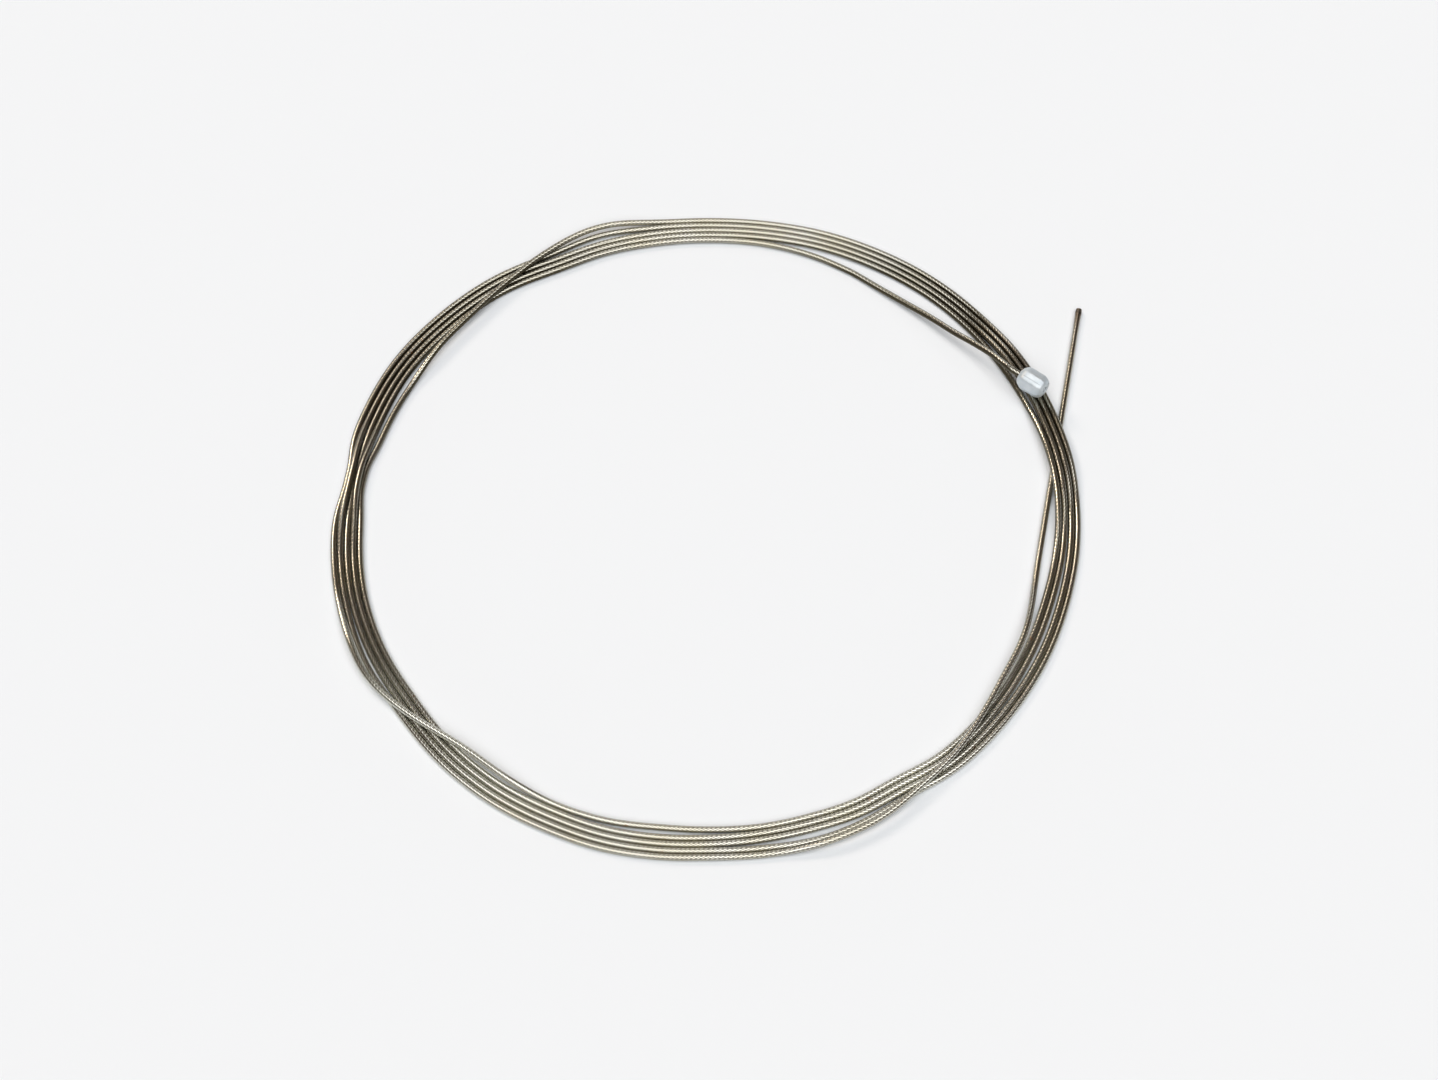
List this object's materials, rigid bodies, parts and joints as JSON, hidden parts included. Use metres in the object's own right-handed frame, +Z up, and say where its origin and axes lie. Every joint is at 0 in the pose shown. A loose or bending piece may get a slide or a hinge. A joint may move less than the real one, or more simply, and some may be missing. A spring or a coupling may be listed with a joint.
{
  "type": "shift cable",
  "caption": "Bicycle shift inner cable: a thin steel wire rope with a small cast barrel head and a fused tip, supplied wound in a flat round coil.",
  "frame": {"origin": "middle of the whole coiled cable's box, on the plane that it lies on", "axes": "+Z up out of the coil's plane; +X towards the side where the head and the free tail lie; +Y along the tail, away from the viewer"},
  "size_m": [0.145, 0.1428, 0.0071],
  "materials": {
    "rope_steel": "bare drawn steel wires laid in a rope, bright on their crowns and brown to olive dark between them",
    "cast_head": "pale satin zinc casting with a faint die line, soft edges and a bright end bevel"
  },
  "bodies": {
    "root": {"rope_coil": "rope_steel", "rope_lead": "rope_steel", "rope_tail": "rope_steel", "cable_head": "cast_head"}
  },
  "joints": []
}
